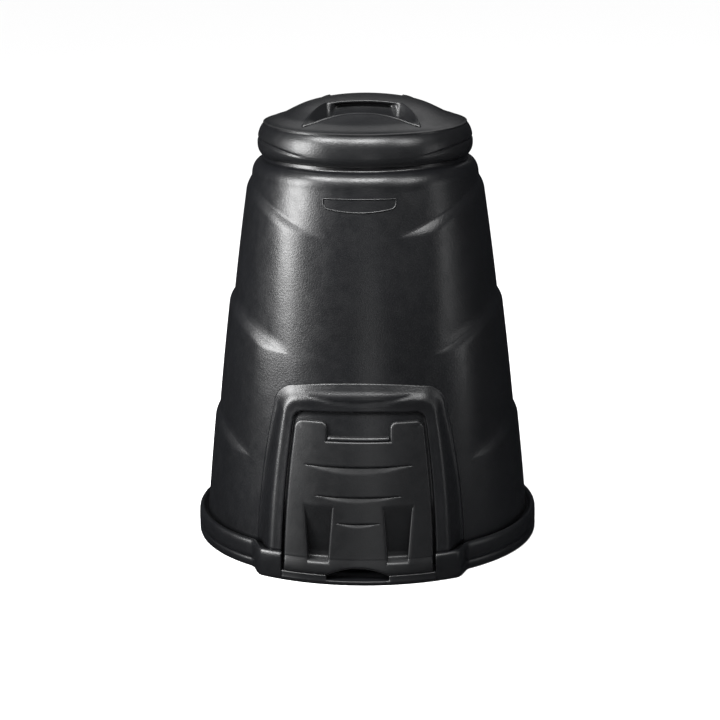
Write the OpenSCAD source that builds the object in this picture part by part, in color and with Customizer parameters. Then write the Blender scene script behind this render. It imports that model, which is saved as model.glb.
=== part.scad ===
// Garden compost bin: a one-piece tapered drum with a hatch near the ground,
// a lift-off lid with a moulded handle, and a lift-out hatch door.
// Z is up, the hatch faces -Y, and the bin stands on z = 0.

/* [Overall] */
// Height of the bin with its lid on
bin_h = 900; // [740:5:1100]
// Radius of the round base ring
base_r = 350; // [290:1:430]
// Thickness of the moulded walls
wall = 3.5; // [2.5:0.1:4.5]

/* [Base ring] */
// Height of the base ring
ring_h = 55; // [45:1:67]
// How far the ring stands out from the drum
ring_out = 20; // [14:1:26]
// Depth of the rain trough between the ring's lip and the drum
trough_d = 10; // [6:1:14]

/* [Drum] */
// Outward bulge of the drum's side, halfway up
side_bulge = 7.5; // [0:0.5:12]
// How far the drum's shoulder stands out past the lid
shoulder_out = 12; // [8:1:20]
// Height of the rounded shoulder
shoulder_h = 32; // [24:1:42]
// How far the arched steps on the two sides stand proud
step_out = 5.5; // [2:0.5:8]
// Height of the bevel at the top of each arched step
step_bevel = 22; // [14:1:30]
// Vertical distance from one arched step to the next
step_pitch = 236; // [180:1:260]
// Height that an arched step falls from its crown to its ends
step_fall = 82; // [50:1:100]

/* [Lid] */
// Outer radius of the lid
lid_r = 216; // [180:1:260]
// Height of the lid, from its lower edge to its crown
lid_h = 114; // [100:1:140]
// Height of the domed crown above the lid's rim
crown_h = 51; // [38:1:62]
// How far the rim's lower edge turns in
rim_t = 10; // [8:0.5:14]
// Height of the neck that the lid sits over
neck_h = 45; // [34:1:54]
// Gap between the drum's shoulder and the lid's lower edge
lid_gap = 9; // [4:1:14]
// Clearance between the lid's rim and the neck
lid_clear = 2; // [1:0.5:4]
// Length of the handle's gripping edges
bar_l = 144; // [118:1:172]
// Width of the handle between its two finger pockets
bar_w = 112; // [92:1:134]
// Thickness of the handle's gripping edges
bar_t = 7; // [5:0.5:9]
// How far the finger pockets reach in under the handle
undercut = 12; // [8:1:16]
// Depth of the finger pockets below the crown
pocket_d = 45; // [37:1:54]
// Reach of the finger pockets from the lid's centre to their outer edge
pocket_reach = 131; // [118:1:140]

/* [Hatch] */
// How far the hatch's surround stands out past the base ring, at the ground
porch_out = 30; // [20:1:36]
// How far the base ring's front band stands out past the surround
band_out = 8; // [5:1:12]
// How far the top of the surround stands out from the drum
brow_out = 6; // [3:1:10]
// Half width of the surround at the ground
porch_half_w = 206; // [175:1:225]
// Height of the top of the surround
porch_h = 381; // [330:1:457]
// Half width of the door at its foot
door_half_w = 142.5; // [118:0.5:158]
// Height of the top of the door
door_h = 305; // [265:1:345]
// How much each side of the door draws in from foot to top
door_draw = 21.5; // [10:0.5:32]
// How much each side of the surround draws in from foot to top
porch_draw = 50; // [25:1:62]
// Gap round the door
door_gap = 8; // [5:0.5:10]
// Room above the door to lift it off its feet
lift_room = 22; // [17:1:27]
// How far the door's face lies behind the surround
door_set = 3; // [1:0.5:5]
// Height of the sill that the door stands on
sill_h = 20; // [16:1:24]
// How far the door's lip lies behind the edge of the sill
lip_back = 3; // [1:0.5:5]
// Half width of the notch in the door's top edge
notch_half_w = 64; // [45:1:74]
// Depth of the notch in the door's top edge
notch_d = 36; // [28:1:44]
// Height where the door's two hand channels begin
channel_top = 150; // [125:1:180]
// Half width of the finger scoop below the door
scoop_half_w = 61; // [45:1:73]

/* [Hidden] */
$fn = 96;

far = 520;
fit_gap = 0.5;
front_r = base_r + porch_out;
axis_y = (front_r - base_r) / 2;
drum_foot_r = base_r - ring_out;
rim_z = bin_h - lid_h;
shoulder_z = rim_z - lid_gap;
drum_top_z = shoulder_z - shoulder_h;
drum_top_r = lid_r + shoulder_out;
rim_in_r = lid_r - rim_t;
neck_r = rim_in_r - lid_clear;
neck_top_z = shoulder_z + neck_h;
web_z = ring_h - trough_d;

// Surround and door, as radii about the drum's axis
porch_foot_r = front_r - band_out;
porch_top_r = drum_r(porch_h) + brow_out;
lip_round = 7;
door_t = 4;
recess_top = door_h + lift_room;
channel_r = door_r(channel_top);
hole_half_w = door_half_w - 30.5;
hole_low = sill_h + 10;
hole_top = door_h - notch_d - 20;
notch_z = door_h - notch_d;
channel_low = ring_h - 12;
channel_in = 48;
channel_out = 106;
channel_taper = [8, 8];
foot_x = [70, 92];
foot_back = channel_r - door_t;
foot_deep = 8;
foot_t = 10;

// Radius of the drum's plain side at height z
function drum_r(z) =
    let (t = (z - ring_h) / (drum_top_z - ring_h))
    drum_foot_r + (drum_top_r - drum_foot_r) * t + 4 * side_bulge * t * (1 - t);

// Radius of the surround's face, the door's face and the recess behind the door
function porch_r(z) =
    porch_foot_r + (porch_top_r - porch_foot_r) * (z - ring_h) / (porch_h - ring_h);
function door_r(z) = porch_r(z) - door_set;
function recess_r(z) = door_r(max(z, channel_top)) - door_t - 2 * fit_gap;

// Half widths at height z
function door_w(z) = door_half_w - door_draw * pow(z / door_h, 2);
function porch_w(z) = porch_half_w - porch_draw * pow(z / porch_h, 2);

// Radius of the crown's sphere, its height over a point, and the drop at a radius
crown_edge_r = lid_r - 16;
crown_r = (pow(crown_edge_r, 2) + pow(crown_h, 2)) / (2 * crown_h);
function crown_z(r) = bin_h - crown_r + sqrt(pow(crown_r, 2) - pow(r, 2));

// Points of an arc about [x, y], from angle a to angle b
function arc(x, y, r, a, b, n = 8) = [for (i = [0:n]) let (t = a + (b - a) * i / n)
    [x + r * cos(t), y + r * sin(t)]];
function steps(a, b, n) = [for (i = [0:n]) a + (b - a) * i / n];

module at_axis() { translate([0, axis_y, 0]) children(); }

// Draws [x, z] outlines and extrudes them towards -Y from depth a to depth b
module forward(a, b) {
    translate([0, -a, 0]) rotate([90, 0, 0]) linear_extrude(b - a) children();
}

// An outline with sides of half width w(z), square or round at the top corners
module tapered_outline(kind, low, top, corner, grow) {
    side = function(z) (kind == "door" ? door_w(z) : porch_w(z)) + grow;
    w_top = side(top - corner);
    right = concat([for (z = steps(low, top - corner, 8)) [side(z), z]],
        arc(w_top - corner, top - corner, corner, 10, 90, 6));
    left = [for (i = [len(right) - 1:-1:0]) [-right[i][0], right[i][1]]];
    polygon(concat(right, left));
}

// Crescent with a straight top edge: half width w, drop d, top edge at height z
module crescent(w, d, z) {
    r = (w * w + d * d) / (2 * d);
    a = asin(w / r);
    polygon(concat([[-w, z]], arc(0, z - d + r, r, 270 - a, 270 + a, 14), [[w, z]]));
}

// ---- base ring -------------------------------------------------------------

corner_r = 40;

// Plan of the base: a circle with the porch in front, drawn in by the wall
module porch_plan(inset) {
    r = front_r - inset;
    w = porch_half_w - inset;
    c = corner_r - inset;
    cx = w - c;
    cy = sqrt(pow(r - c, 2) - pow(cx, 2));
    a = atan2(cy, cx);
    right = concat([[w, 0]], arc(cx, cy, c, 0, a, 6), arc(0, 0, r, a, 90, 12));
    left = [for (i = [len(right) - 1:-1:0]) [-right[i][0], right[i][1]]];
    mirror([0, 1]) polygon(concat(right, left));
}

module base_block(inset, h) {
    linear_extrude(h) union() {
        circle(base_r - inset);
        porch_plan(inset);
    }
}

module trough() {
    difference() {
        translate([0, 0, web_z]) cylinder(r = base_r - wall, h = trough_d + 1);
        translate([0, 0, web_z - 1]) cylinder(r1 = drum_r(web_z - 1), r2 = drum_r(ring_h + 2),
            h = trough_d + 3);
        linear_extrude(ring_h + 2) porch_plan(0);
    }
}

// ---- drum ------------------------------------------------------------------

// Filled drum and neck, drawn in by the wall where inset is the wall
module drum_form(inset) {
    side = [for (z = steps(web_z, drum_top_z, 10)) [drum_r(z) - inset, z]];
    shoulder = [for (a = steps(15, 90, 5))
        [neck_r + (drum_top_r - neck_r) * cos(a) - inset,
            drum_top_z - inset + shoulder_h * sin(a)]];
    foot = inset > 0 ? [[0, -1], [drum_r(web_z) - inset, -1]] : [[0, web_z - wall]];
    top_z = inset > 0 ? neck_top_z + 1 : neck_top_z;
    low = inset > 0 ? [] : [[drum_r(web_z), web_z - wall]];
    rotate_extrude() polygon(concat(foot, low, side, shoulder,
        [[neck_r - inset, top_z], [0, top_z]]));
}

// Step k on the two sides: a pad under an arch, thickest along the arch, drawn in by inset
module side_step(k, inset) {
    crown = drum_top_z - 5 - k * step_pitch;
    low = max(crown - step_pitch - step_fall, ring_h + 1);
    fade = crown - step_bevel - low;
    outer = concat([[drum_r(crown) - inset, crown]],
        [for (z = steps(crown - step_bevel, low, 5))
            [drum_r(z) - inset + step_out * (z - low) / fade, z]]);
    reach = 0.94 * drum_r(crown);
    arch = [for (a = steps(-80, 80, 16))
        [(reach - 2 * inset) * sin(a), crown - 2 * inset - step_fall * pow(sin(a) / sin(80), 2)]];
    intersection() {
        rotate_extrude() polygon(concat([[drum_r(low) - 12, low], [drum_r(crown) - 12, crown]],
            outer));
        rotate([90, 0, 90]) translate([0, 0, -far]) linear_extrude(2 * far)
            polygon(concat(arch, [[reach - 2 * inset, low - 1], [2 * inset - reach, low - 1]]));
    }
}

plate_half_w = 76;
plate_h = 27;
plate_z = drum_top_z - 11;
plate_out = 1.5;

// Blank oval-bottomed name panel on the front of the shoulder
module name_panel() {
    intersection() {
        rotate_extrude() polygon([
            [drum_r(plate_z - plate_h - 2) - 1, plate_z - plate_h - 2],
            [drum_r(plate_z - plate_h - 2) + plate_out, plate_z - plate_h - 2],
            [drum_r(plate_z) + plate_out, plate_z],
            [drum_r(plate_z) - 1, plate_z]]);
        forward(0, far) union() {
            crescent(plate_half_w, plate_h * 0.45, plate_z - plate_h * 0.55);
            polygon([[-plate_half_w, plate_z - plate_h * 0.55], [plate_half_w, plate_z - plate_h * 0.55],
                [plate_half_w, plate_z - 4], [plate_half_w - 4, plate_z],
                [4 - plate_half_w, plate_z], [-plate_half_w, plate_z - 4]]);
        }
    }
}

// ---- surround of the hatch -------------------------------------------------

module porch_block(inset) {
    intersection() {
        rotate_extrude() polygon([[0, web_z], [porch_foot_r - inset, web_z],
            [porch_foot_r - inset, ring_h], [porch_r(porch_h - inset) - inset, porch_h - inset],
            [0, porch_h - inset]]);
        forward(drum_foot_r * 0.55, far)
            tapered_outline("porch", web_z, porch_h - inset, 45 - inset, -inset);
    }
}

// The recess for the door, from its floor outwards; grown, it is the recess's own wall
module recess(grow) {
    z0 = sill_h - grow;
    z1 = recess_top + grow;
    floor_pts = [for (z = [z0, channel_top, z1]) [recess_r(z) - grow, z]];
    intersection() {
        rotate_extrude() polygon(concat(floor_pts, [[far, z1], [far, z0]]));
        forward(drum_foot_r * 0.5, far) tapered_outline("door", z0, z1, 22 + grow, door_gap + grow);
    }
}

module hatch_hole() {
    corner = 24;
    forward(drum_foot_r * 0.4, front_r - wall - 1) polygon(concat(
        arc(hole_half_w - corner, hole_top - corner, corner, 0, 90),
        arc(corner - hole_half_w, hole_top - corner, corner, 90, 180),
        [[-hole_half_w, hole_low], [hole_half_w, hole_low]]));
}

// Keeper in the notch of the door's top edge, its underside along the door's way out
module keeper() {
    z0 = notch_z + 2.5;
    r0 = recess_r(z0);
    intersection() {
        rotate_extrude() polygon([[r0 - wall / 2, z0], [r0, z0], [r0 + 8, z0 + 8],
            [recess_r(z0 + 20), z0 + 20], [r0 - wall / 2 - 3, z0 + 20]]);
        forward(0, far) translate([4 - notch_half_w, z0]) square([2 * notch_half_w - 8, 20]);
    }
}

scoop_back = 18;
scoop_floor_z = sill_h - 11;

// Sunk floor of the finger scoop in the sill
module scoop_block() {
    intersection() {
        base_block(0, sill_h);
        translate([-scoop_half_w - wall, -far, scoop_floor_z - wall])
            cube([2 * (scoop_half_w + wall), far - front_r + scoop_back + wall, far]);
    }
}

module scoop_cut() {
    translate([-scoop_half_w, -far, scoop_floor_z])
        cube([2 * scoop_half_w, far - front_r + scoop_back, sill_h]);
}

// Slots in the sill for the door's two feet
module foot_slots() {
    for (s = [-1, 1]) translate([s * (foot_x[0] + foot_x[1]) / 2, 0, 0])
        translate([-(foot_x[1] - foot_x[0]) / 2 - 3, -foot_back - foot_t - fit_gap,
            sill_h - 2 * wall])
            cube([foot_x[1] - foot_x[0] + 6, foot_t + 2, 2 * wall + 1]);
}

module body_space() {
    difference() {
        union() {
            drum_form(wall);
            translate([0, 0, -1]) base_block(wall, web_z - wall + 1);
            translate([0, 0, -1]) linear_extrude(ring_h - wall + 1) porch_plan(wall);
            porch_block(wall);
            for (k = [0:2]) side_step(k, wall);
        }
        recess(wall);
        scoop_block();
    }
}

module bin_body() {
    color("#2b2c2e") at_axis() {
        difference() {
            union() {
                drum_form(0);
                base_block(0, ring_h);
                porch_block(0);
                for (k = [0:2]) side_step(k, 0);
                name_panel();
            }
            body_space();
            trough();
            recess(0);
            hatch_hole();
            foot_slots();
            scoop_cut();
            forward(0, far) crescent(110, 17, porch_h - 20);
        }
        keeper();
    }
}

// ---- lid -------------------------------------------------------------------

pocket_z = bin_h - pocket_d;
tip = [118, pocket_reach + 19];

// Plan of one finger pocket, drawn out by grow
module pocket_plan(grow) {
    sag = tip[1] - pocket_reach;
    r = (pow(tip[0], 2) + pow(sag, 2)) / (2 * sag);
    a = asin(tip[0] / r);
    front = arc(0, pocket_reach + r + grow, r, 270 - a, 270 + a, 12);
    polygon(concat([[bar_l / 2 + grow, bar_w / 2 - grow], [tip[0] - 12 + grow, tip[1] * 0.72]],
        [for (i = [len(front) - 1:-1:0]) [front[i][0] * (1 + grow / tip[0]), front[i][1]]],
        [[12 - tip[0] - grow, tip[1] * 0.72], [-bar_l / 2 - grow, bar_w / 2 - grow]]));
}

module crown_form(drop, low) {
    edge = [for (r = steps(0, crown_edge_r, 14)) [r, crown_z(r) - drop]];
    rotate_extrude() polygon(concat([[0, low]], edge, [[crown_edge_r, low]]));
}

module lid_shell() {
    z = function(up) rim_z + up;
    crown_out = [for (r = steps(0, crown_edge_r, 14)) [r, crown_z(r)]];
    rim_out = [[lid_r - 4, z(lid_h - crown_h - 11)], [lid_r - 1, z(42)], [lid_r - 2.5, z(32)],
        [lid_r, z(24)], [lid_r, z(15)], [lid_r - 3.5, z(7)], [lid_r - 6.5, z(0)]];
    rim_in = [[rim_in_r, z(0)], [lid_r - 1 - wall, z(12)], [lid_r - 1 - wall, z(40)],
        [lid_r - 5 - wall, z(lid_h - crown_h - 12)]];
    crown_in = [for (r = steps(crown_edge_r - 2, 0, 14)) [r, crown_z(r) - wall]];
    rotate_extrude() polygon(concat(crown_out, rim_out, rim_in, crown_in));
}

// Ring under the crown that seats on the neck
module seat_ring() {
    rotate_extrude() polygon([[neck_r - 5, neck_top_z], [neck_r, neck_top_z],
        [neck_r, crown_z(crown_edge_r) - 1.5], [neck_r - 5, crown_z(neck_r - 5) - 1.5]]);
}

// Space under the handle's two gripping edges
module grip_space() {
    half = bar_l / 2 - 6;
    under = [for (x = steps(-half, half, 10))
        [x, crown_z(sqrt(pow(x, 2) + pow(bar_w / 2, 2))) - bar_t]];
    for (s = [0, 1]) mirror([0, s, 0]) translate([0, bar_w / 2 + 1, 0]) rotate([90, 0, 0])
        linear_extrude(undercut + 1)
            polygon(concat([[half, pocket_z], [-half, pocket_z]], under));
}

// Filled handle between the pockets, and the hollow inside it
module handle_block() {
    translate([-bar_l / 2 - wall, -bar_w / 2, pocket_z - wall])
        cube([bar_l + 2 * wall, bar_w, pocket_d]);
}

module handle_hollow() {
    half_w = bar_w / 2 - undercut - wall;
    intersection() {
        crown_form(wall, pocket_z - wall - 1);
        translate([-bar_l / 2, -half_w, pocket_z - wall - 1]) cube([bar_l, 2 * half_w, pocket_d + wall]);
    }
}

module pockets(grow, low) {
    for (s = [0, 1]) mirror([0, s, 0]) translate([0, 0, low])
        linear_extrude(bin_h - low) pocket_plan(grow);
}

module lid() {
    color("#303133") at_axis() difference() {
        union() {
            lid_shell();
            seat_ring();
            intersection() {
                crown_form(0, pocket_z - wall);
                union() {
                    pockets(wall, pocket_z - wall);
                    handle_block();
                }
            }
        }
        pockets(0, pocket_z);
        grip_space();
        handle_hollow();
    }
}

// ---- hatch door ------------------------------------------------------------

// Filled section of the door: the sloping face with the lip over the sill
module door_form(inset) {
    z0 = sill_h + fit_gap;
    low = inset > 0 ? z0 - 1 : z0;
    top = inset > 0 ? door_h + 1 : door_h;
    lip = front_r - lip_back - inset;
    rotate_extrude() polygon(concat([[200, low], [lip - 1, low], [lip, z0 + 3]],
        arc(lip - lip_round, ring_h - lip_round - inset, lip_round, 0, 75, 5),
        [[door_r(ring_h + 2) - inset, ring_h + 2 - inset], [door_r(top) - inset, top], [200, top]]));
}

// Outline of hand channel s, grown by the wall for its shell
module channel_outline(grow) {
    polygon([[channel_in - grow, channel_top + grow], [channel_out + grow, channel_top + grow],
        [channel_out - channel_taper[1] + grow, channel_low - grow],
        [channel_in + channel_taper[0] - grow, channel_low - grow]]);
}

module channel(grow, r_in, r_out) {
    for (s = [0, 1]) mirror([s, 0, 0]) intersection() {
        difference() {
            cylinder(r = r_out, h = channel_top + 20);
            translate([0, 0, -1]) cylinder(r = r_in, h = channel_top + 22);
        }
        forward(100, far) channel_outline(grow);
    }
}

// Feet that drop into the sill's slots; the front slopes along the door's way out
module feet() {
    z0 = sill_h + fit_gap;
    for (s = [-1, 1]) translate([s * (foot_x[0] + foot_x[1]) / 2, 0, 0])
        rotate([90, 0, 90]) translate([0, 0, (foot_x[0] - foot_x[1]) / 2])
            linear_extrude(foot_x[1] - foot_x[0]) polygon([
                [-foot_back, z0 - foot_deep], [-foot_back, channel_low - 1],
                [-foot_back - foot_t, channel_low - 1], [-foot_back - foot_t, z0],
                [-foot_back - foot_t + foot_deep, z0 - foot_deep]]);
}

module door_plate() {
    difference() {
        union() {
            difference() {
                door_form(0);
                door_form(door_t);
            }
            intersection() {
                door_form(0);
                channel(door_t, channel_r - door_t, far);
            }
        }
        channel(0, channel_r, far);
    }
}

module scoop_arch() {
    rise = 15;
    r = (pow(scoop_half_w, 2) + pow(rise, 2)) / (2 * rise);
    a = asin(scoop_half_w / r);
    forward(front_r - scoop_back, far) polygon(concat([[scoop_half_w, 0]],
        arc(0, sill_h + rise - r, r, 90 - a, 90 + a, 12), [[-scoop_half_w, 0]]));
}

module hatch_door() {
    color("#26272a") at_axis() {
        difference() {
            intersection() {
                door_plate();
                forward(0, far) tapered_outline("door", 1, door_h, 12, 0);
            }
            forward(0, far) translate([-notch_half_w, notch_z])
                square([2 * notch_half_w, notch_d + 1]);
            difference() {
                forward(0, far) {
                    crescent(108, 16, door_h - 80);
                    crescent(86, 12, door_h - 137);
                    crescent(44, 9, door_h - 187);
                }
                door_form(1.5);
            }
            scoop_arch();
        }
        feet();
    }
}

bin_body();
lid();
hatch_door();
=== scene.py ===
import bpy
from math import asin, atan2, cos, exp, hypot, pi, radians, sin, sqrt
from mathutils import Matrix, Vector


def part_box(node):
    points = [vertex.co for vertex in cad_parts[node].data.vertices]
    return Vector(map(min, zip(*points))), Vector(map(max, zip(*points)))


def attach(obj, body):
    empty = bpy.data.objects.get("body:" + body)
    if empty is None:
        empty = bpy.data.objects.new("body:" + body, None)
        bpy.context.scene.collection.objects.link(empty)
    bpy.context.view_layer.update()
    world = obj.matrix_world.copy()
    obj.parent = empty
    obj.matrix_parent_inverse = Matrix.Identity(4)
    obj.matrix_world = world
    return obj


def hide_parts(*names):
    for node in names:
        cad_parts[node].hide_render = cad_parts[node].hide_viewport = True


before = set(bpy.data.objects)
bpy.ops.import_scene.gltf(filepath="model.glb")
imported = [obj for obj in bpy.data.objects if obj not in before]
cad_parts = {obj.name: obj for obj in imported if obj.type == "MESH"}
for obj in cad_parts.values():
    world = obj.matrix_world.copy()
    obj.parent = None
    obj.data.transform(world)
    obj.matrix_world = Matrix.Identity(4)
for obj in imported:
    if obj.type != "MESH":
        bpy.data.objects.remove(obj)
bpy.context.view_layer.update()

# ---- Drum -------------------------------------------------------------------
# The bin's body is one moulding of black polyethylene with a 3.5 mm wall. The drum
# tapers to a rounded shoulder and a plain neck, and three arched steps stiffen each
# side; every arch is highest at the side and dies away towards the front and back.
MM = 0.001
WALL = 3.5
body_low, body_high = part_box("bin_body")
lid_low, lid_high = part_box("lid")
_, door_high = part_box("hatch_door")
BASE_R = (body_high.x - body_low.x) / 2 / MM
AXIS_Y = body_high.y / MM - BASE_R
FRONT_R = AXIS_Y - body_low.y / MM
BIN_H = lid_high.z / MM
LID_R = (lid_high.x - lid_low.x) / 2 / MM
RIM_Z = lid_low.z / MM
RING_H = 55
RING_OUT = 20
NECK_TOP = body_high.z / MM
LID_GAP = 9
SHOULDER_H = 32
SHOULDER_OUT = 12
NECK_INSET = 12
SHOULDER_Z = RIM_Z - LID_GAP
DRUM_TOP = SHOULDER_Z - SHOULDER_H
FOOT_R = BASE_R - RING_OUT
TOP_R = LID_R + SHOULDER_OUT
NECK_R = LID_R - NECK_INSET
SIDE_BULGE = 7.5


def drum_r(z):
    """Radius of the drum's plain side at height z, slightly barrelled."""
    t = (z - RING_H) / (DRUM_TOP - RING_H)
    return FOOT_R + (TOP_R - FOOT_R) * t + 4 * SIDE_BULGE * t * (1 - t)


def around(angle, r, z):
    """Point at an angle from the front (to +X), a radius about the drum's axis and a height."""
    return Vector((r * sin(angle) * MM, (AXIS_Y - r * cos(angle)) * MM, z * MM))


def ahead(x, r, z):
    """Point at an X and a height whose radius about the drum's axis is r."""
    return Vector((x * MM, (AXIS_Y - sqrt(r * r - x * x)) * MM, z * MM))


def along(stops, t):
    """Value at t of a run of (t, value) stops joined by straight lines."""
    if t <= stops[0][0]:
        return stops[0][1]
    for (a, va), (b, vb) in zip(stops, stops[1:]):
        if t <= b:
            return va + (vb - va) * (t - a) / (b - a)
    return stops[-1][1]


def ease(a, b, t):
    """0 below a, 1 above b, with a smooth rise between."""
    t = min(1, max(0, (t - a) / (b - a)))
    return t * t * (3 - 2 * t)


def spread(*runs):
    """Even steps over runs of (count, end value), starting from the first number."""
    values = [runs[0]]
    for count, end in runs[1:]:
        start = values[-1]
        values += [start + (end - start) * i / count for i in range(1, count + 1)]
    return values


def skin(name, across, up, place, hole=None):
    """A grid primitive wrapped on to a shape: place(column, row) gives each vertex its point."""
    bpy.ops.object.select_all(action="DESELECT")
    bpy.ops.mesh.primitive_grid_add(x_subdivisions=across, y_subdivisions=up, size=1)
    piece = bpy.context.object
    piece.name = name
    for i, v in enumerate(piece.data.vertices):
        v.co = place(i % (across + 1), i // (across + 1))
    if hole:
        bpy.ops.object.mode_set(mode="EDIT")
        bpy.ops.mesh.select_mode(type="FACE")
        bpy.ops.object.mode_set(mode="OBJECT")
        for face in piece.data.polygons:
            face.select = hole(face.index)
        bpy.ops.object.mode_set(mode="EDIT")
        bpy.ops.mesh.delete(type="FACE")
        bpy.ops.object.mode_set(mode="OBJECT")
    bpy.ops.object.mode_set(mode="EDIT")
    bpy.ops.mesh.select_all(action="SELECT")
    bpy.ops.mesh.remove_doubles(threshold=0.00002)
    bpy.ops.mesh.dissolve_degenerate(threshold=0.00001)
    bpy.ops.object.mode_set(mode="OBJECT")
    bpy.ops.object.shade_smooth()
    return piece


def thicken(piece, wall):
    """Gives a skin its moulded wall, inwards from the face."""
    bpy.context.view_layer.objects.active = piece
    solid = piece.modifiers.new("wall", "SOLIDIFY")
    solid.thickness = wall * MM
    solid.offset = -1
    bpy.ops.object.modifier_apply(modifier=solid.name)


def face_outwards(piece):
    """Turns every face of a closed piece outwards."""
    bpy.context.view_layer.objects.active = piece
    bpy.ops.object.mode_set(mode="EDIT")
    bpy.ops.mesh.select_all(action="SELECT")
    bpy.ops.mesh.normals_make_consistent(inside=False)
    bpy.ops.object.mode_set(mode="OBJECT")


def moulded_plastic(name, colour, gloss, grain):
    """Black polyethylene: faint grey clouding, scuffs in the gloss and a fine leathery grain."""
    finish = bpy.data.materials.new(name)
    finish.use_nodes = True
    nodes, links = finish.node_tree.nodes, finish.node_tree.links
    shader = nodes["Principled BSDF"]
    place = nodes.new("ShaderNodeTexCoord")

    def noise(scale, detail, roughness=0.55):
        node = nodes.new("ShaderNodeTexNoise")
        node.inputs["Scale"].default_value = scale
        node.inputs["Detail"].default_value = detail
        node.inputs["Roughness"].default_value = roughness
        links.new(place.outputs["Object"], node.inputs["Vector"])
        return node

    def fit(source, low, high, to_low, to_high):
        node = nodes.new("ShaderNodeMapRange")
        for socket, value in zip(("From Min", "From Max", "To Min", "To Max"), (low, high, to_low, to_high)):
            node.inputs[socket].default_value = value
        links.new(source, node.inputs["Value"])
        return node.outputs["Result"]

    clouds = noise(5.5, 5)
    tint = nodes.new("ShaderNodeValToRGB")
    tint.color_ramp.elements[0].position, tint.color_ramp.elements[1].position = 0.3, 0.75
    tint.color_ramp.elements[0].color = (*[c * 0.82 for c in colour], 1)
    tint.color_ramp.elements[1].color = (*[c * 1.25 for c in colour], 1)
    links.new(clouds.outputs["Fac"], tint.inputs["Fac"])
    links.new(tint.outputs["Color"], shader.inputs["Base Color"])

    scuffs = noise(38, 8, 0.7)
    links.new(fit(scuffs.outputs["Fac"], 0.35, 0.7, gloss - 0.035, gloss + 0.05), shader.inputs["Roughness"])
    shader.inputs["Specular IOR Level"].default_value = 0.5
    shader.inputs["IOR"].default_value = 1.5

    pebble = nodes.new("ShaderNodeTexVoronoi")
    pebble.feature = "SMOOTH_F1"
    pebble.inputs["Scale"].default_value = 330
    pebble.inputs["Smoothness"].default_value = 0.8
    links.new(place.outputs["Object"], pebble.inputs["Vector"])
    relief = nodes.new("ShaderNodeMath")
    relief.operation = "MULTIPLY_ADD"
    relief.inputs[1].default_value = 0.6
    links.new(noise(620, 3).outputs["Fac"], relief.inputs[0])
    links.new(pebble.outputs["Distance"], relief.inputs[2])
    fine = nodes.new("ShaderNodeBump")
    fine.inputs["Strength"].default_value = grain
    fine.inputs["Distance"].default_value = 0.0004
    links.new(relief.outputs["Value"], fine.inputs["Height"])
    waves = nodes.new("ShaderNodeBump")
    waves.inputs["Strength"].default_value = 0.25
    waves.inputs["Distance"].default_value = 0.004
    links.new(noise(9, 2).outputs["Fac"], waves.inputs["Height"])
    links.new(fine.outputs["Normal"], waves.inputs["Normal"])
    links.new(waves.outputs["Normal"], shader.inputs["Normal"])
    return finish


drum_plastic = moulded_plastic("drum_plastic", (0.0032, 0.0034, 0.0040), 0.33, 0.4)


# Each arched step: height of its crown and of its ends, the sine of the angle from the
# front where it ends, how the curve steepens, and the proud and sunk sides of the step.
ARCHES = (
    dict(crown=740, ends=655, end_sine=0.28, power=1.3, above=0, below=6.0),
    dict(crown=508, ends=427, end_sine=0.48, power=1.3, above=-2.4, below=4.8),
    dict(crown=268, ends=212, end_sine=0.70, power=1.05, above=-2.1, below=4.2),
)
BEVEL_H = 24
FAINT_BEVEL_H = 4
BEVEL_ROWS = 7
FIELD_ROWS = 12
SHOULDER_ROWS = 10
SHOULDER_SWEEP = 80
WALL_FOOT = RING_H - 12


def arch_at(arch, sine):
    """Height of an arch's top edge, and how strong its step is, at an angle's sine."""
    t = max(0, (sine - arch["end_sine"]) / (1 - arch["end_sine"]))
    return arch["ends"] + (arch["crown"] - arch["ends"]) * t ** arch["power"], ease(0, 0.5, t)


def drum_column(angle):
    """(radius, height) down the drum at one angle, from the neck's rim to the ring."""
    rows = [(NECK_R - 1, NECK_TOP), (NECK_R, NECK_TOP - 1.5), (NECK_R + 0.2, SHOULDER_Z + 20)]
    rows += [(NECK_R + 0.4, SHOULDER_Z + 3), (NECK_R + 1.2, SHOULDER_Z + 0.8), (NECK_R + 2.6, SHOULDER_Z)]
    for i in range(SHOULDER_ROWS + 1):
        turn = radians(SHOULDER_SWEEP - SHOULDER_SWEEP * i / SHOULDER_ROWS)
        rows.append((NECK_R + (TOP_R - NECK_R) * cos(turn), DRUM_TOP + SHOULDER_H * sin(turn)))
    sine = abs(sin(angle))
    last_z, last_out = DRUM_TOP, 0
    for arch in ARCHES:
        top, strength = arch_at(arch, sine)
        top = min(top, last_z - 3)
        low = top - FAINT_BEVEL_H - (BEVEL_H - FAINT_BEVEL_H) * strength
        above, below = arch["above"] * strength, arch["below"] * strength
        for i in range(1, FIELD_ROWS + 1):
            t = i / FIELD_ROWS
            z = last_z + (top - last_z) * t
            rows.append((drum_r(z) + last_out + (above - last_out) * t, z))
        for i in range(1, BEVEL_ROWS + 1):
            t = i / BEVEL_ROWS
            z = top + (low - top) * t
            rows.append((drum_r(z) + above + (below - above) * sin(t * pi / 2), z))
        last_z, last_out = low, below
    for i in range(1, FIELD_ROWS + 1):
        t = i / FIELD_ROWS
        z = last_z + (WALL_FOOT - last_z) * t
        rows.append((drum_r(z) + last_out * (1 - t), z))
    return rows


COLUMNS = 288
drum_columns = [drum_column(2 * pi * i / COLUMNS) for i in range(COLUMNS)]
drum = skin("drum_wall", COLUMNS, len(drum_columns[0]) - 1,
            lambda i, j: around(-2 * pi * i / COLUMNS, *drum_columns[(-i) % COLUMNS][j]))
thicken(drum, WALL)


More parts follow.
